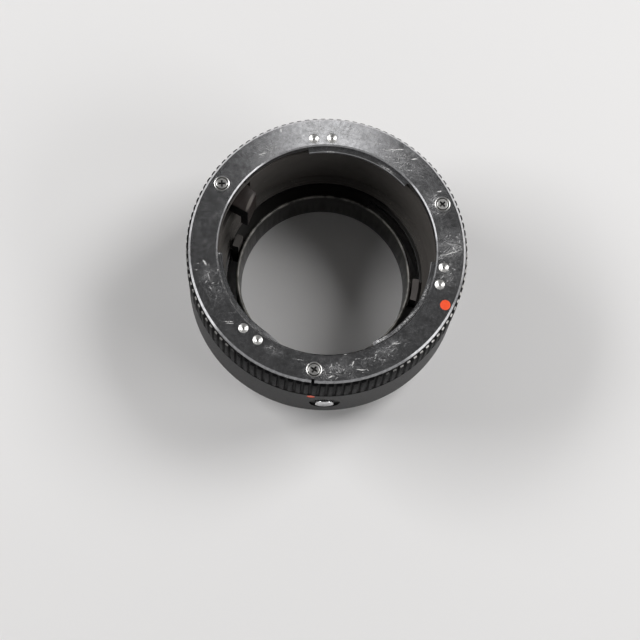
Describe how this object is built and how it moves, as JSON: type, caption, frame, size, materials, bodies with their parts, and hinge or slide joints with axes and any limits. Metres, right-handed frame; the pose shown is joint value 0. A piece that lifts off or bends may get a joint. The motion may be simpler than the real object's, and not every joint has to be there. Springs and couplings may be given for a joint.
{
  "type": "macro extension tube",
  "caption": "Black lens extension tube with a bright bayonet flange, ridged grip, male rear bayonet with release button, and turning rings inside that pass on diaphragm and aperture.",
  "frame": {"origin": "on the light axis at the rear end, which the tube stands on", "axes": "+Z along the light axis towards the lens flange, -Y through the release button"},
  "size_m": [0.0628, 0.0628, 0.0305],
  "materials": {
    "bright_mount": "chromed brass, finely scratched",
    "screw_steel": "plated steel",
    "rivet_steel": "turned steel",
    "index_red": "orange red paint",
    "spring_steel": "spring steel",
    "black_grip": "black anodised, ridged",
    "black_shell": "black anodised, satin",
    "flock_black": "matt black inside",
    "baffle_black": "matt black with a worn rim",
    "lever_black": "blackened steel",
    "button_bright": "bright cap",
    "pin_steel": "ground steel"
  },
  "bodies": {
    "housing": {"lens_flange": "bright_mount", "flange_screws": "screw_steel", "spring_rivets": "rivet_steel", "index_dot": "index_red", "leaf_spring_top": "spring_steel", "leaf_spring_left": "spring_steel", "leaf_spring_right": "spring_steel", "front_housing": "black_grip", "rear_housing": "black_shell", "rear_index_dot": "index_red", "inner_sleeve": "flock_black", "sleeve_lock_ring": "flock_black", "rear_baffle": "baffle_black", "rear_bayonet": "bright_mount", "rear_mount_screws": "screw_steel", "lock_spring": "spring_steel"},
    "diaphragm_coupling": {"diaphragm_ring": "lever_black", "diaphragm_finger": "lever_black"},
    "aperture_coupling": {"aperture_ring": "lever_black", "aperture_finger": "lever_black"},
    "button": {"release_button": "button_bright"},
    "lock": {"lock_pin": "pin_steel"}
  },
  "joints": [
    {"name": "diaphragm_turn", "type": "hinge", "parent": "housing", "child": "diaphragm_coupling", "pos_m": [0, 0, 0], "axis": [0, 0, 1], "range_deg": [0, 36], "stiffness_Nm_per_rad": 0.01},
    {"name": "aperture_turn", "type": "hinge", "parent": "housing", "child": "aperture_coupling", "pos_m": [0, 0, 0], "axis": [0, 0, 1], "range_deg": [0, 60], "stiffness_Nm_per_rad": 0.01},
    {"name": "button_press", "type": "slide", "parent": "housing", "child": "button", "axis": [0, 1, 0], "range_m": [0, 0.0012], "stiffness_N_per_m": 200},
    {"name": "lock_lift", "type": "slide", "parent": "housing", "child": "lock", "axis": [0, 0, 1], "range_m": [0, 0.0012], "stiffness_N_per_m": 200, "deforming": ["lock_spring"]}
  ],
  "couplings": [
    {"joint": "lock_lift", "follows": "button_press", "ratio": 1}
  ]
}
